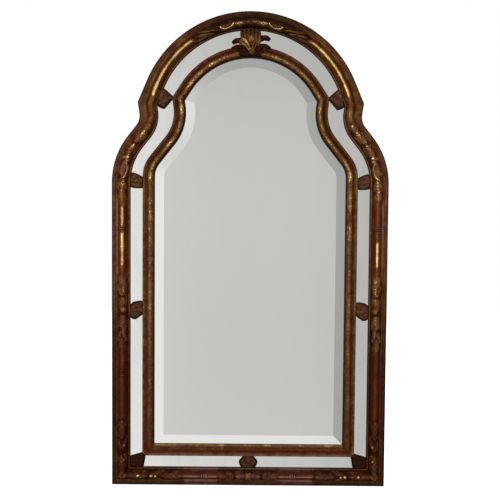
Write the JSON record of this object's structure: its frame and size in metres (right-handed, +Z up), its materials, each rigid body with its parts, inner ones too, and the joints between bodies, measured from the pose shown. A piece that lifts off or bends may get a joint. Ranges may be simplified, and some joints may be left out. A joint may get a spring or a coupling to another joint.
{
  "type": "wall mirror",
  "caption": "Tall arched wall mirror with a bevelled main plate, a band of marginal plates, carved giltwood mouldings, leaf clasps, a small crest and hanging rings at the back.",
  "frame": {"origin": "bottom edge of the frame's back, on the centre line, in the plane of the wall", "axes": "+Z up, +X to the right seen from the front, +Y into the wall, so the glass faces -Y"},
  "size_m": [0.88, 0.052, 1.516],
  "materials": {
    "outer_giltwood": "worn gilding over dark red bole on carved wood",
    "inner_giltwood": "worn gilding over dark red bole on carved wood",
    "carved_giltwood": "dull gilding over brown bole on carved wood",
    "marginal_plate": "old silvered glass",
    "main_plate": "silvered glass with a ground bevel",
    "ground_wood": "bare aged softwood",
    "backboard_wood": "bare aged thin boards",
    "hidden_wood": "bare wood",
    "fastener_steel": "dull steel",
    "strap_steel": "dull plated steel",
    "ring_brass": "dull brass wire"
  },
  "bodies": {
    "frame": {"outer_bottom_rail": "outer_giltwood", "left_outer_stile": "outer_giltwood", "right_outer_stile": "outer_giltwood", "left_outer_shoulder": "outer_giltwood", "right_outer_shoulder": "outer_giltwood", "left_outer_arch": "outer_giltwood", "right_outer_arch": "outer_giltwood", "inner_bottom_rail": "inner_giltwood", "left_inner_stile": "inner_giltwood", "right_inner_stile": "inner_giltwood", "left_inner_shoulder": "inner_giltwood", "right_inner_shoulder": "inner_giltwood", "left_inner_arch": "inner_giltwood", "right_inner_arch": "inner_giltwood", "left_ear_clasp": "carved_giltwood", "right_ear_clasp": "carved_giltwood", "left_shoulder_clasp": "carved_giltwood", "right_shoulder_clasp": "carved_giltwood", "left_middle_clasp": "carved_giltwood", "right_middle_clasp": "carved_giltwood", "left_corner_clasp": "carved_giltwood", "right_corner_clasp": "carved_giltwood", "bottom_clasp": "carved_giltwood", "crest": "carved_giltwood", "left_bottom_plate": "marginal_plate", "right_bottom_plate": "marginal_plate", "left_lower_plate": "marginal_plate", "right_lower_plate": "marginal_plate", "left_middle_plate": "marginal_plate", "right_middle_plate": "marginal_plate", "left_shoulder_plate": "marginal_plate", "right_shoulder_plate": "marginal_plate", "left_arch_plate": "marginal_plate", "right_arch_plate": "marginal_plate", "main_plate": "main_plate", "ground_bottom_rail": "ground_wood", "left_ground_stile": "ground_wood", "right_ground_stile": "ground_wood", "left_ground_shoulder": "ground_wood", "right_ground_shoulder": "ground_wood", "ground_crown": "ground_wood", "lower_backboard": "backboard_wood", "middle_backboard": "backboard_wood", "upper_backboard": "backboard_wood", "glazing_blocks": "hidden_wood", "joint_dowels": "hidden_wood", "mitre_keys": "hidden_wood", "outer_screws": "fastener_steel", "inner_screws": "fastener_steel", "back_screws": "fastener_steel", "hanger_screws": "fastener_steel", "clasp_pins": "fastener_steel", "left_hanger_strap": "strap_steel", "right_hanger_strap": "strap_steel"},
    "left_ring": {"left_hanger_ring": "ring_brass"},
    "right_ring": {"right_hanger_ring": "ring_brass"}
  },
  "joints": [
    {"name": "left_ring_swing", "type": "hinge", "parent": "frame", "child": "left_ring", "pos_m": [-0.36625, -0.0062, 0.8802], "axis": [1, 0, 0], "range_deg": [0, 180]},
    {"name": "right_ring_swing", "type": "hinge", "parent": "frame", "child": "right_ring", "pos_m": [0.36625, -0.0062, 0.8802], "axis": [1, 0, 0], "range_deg": [0, 180]}
  ]
}
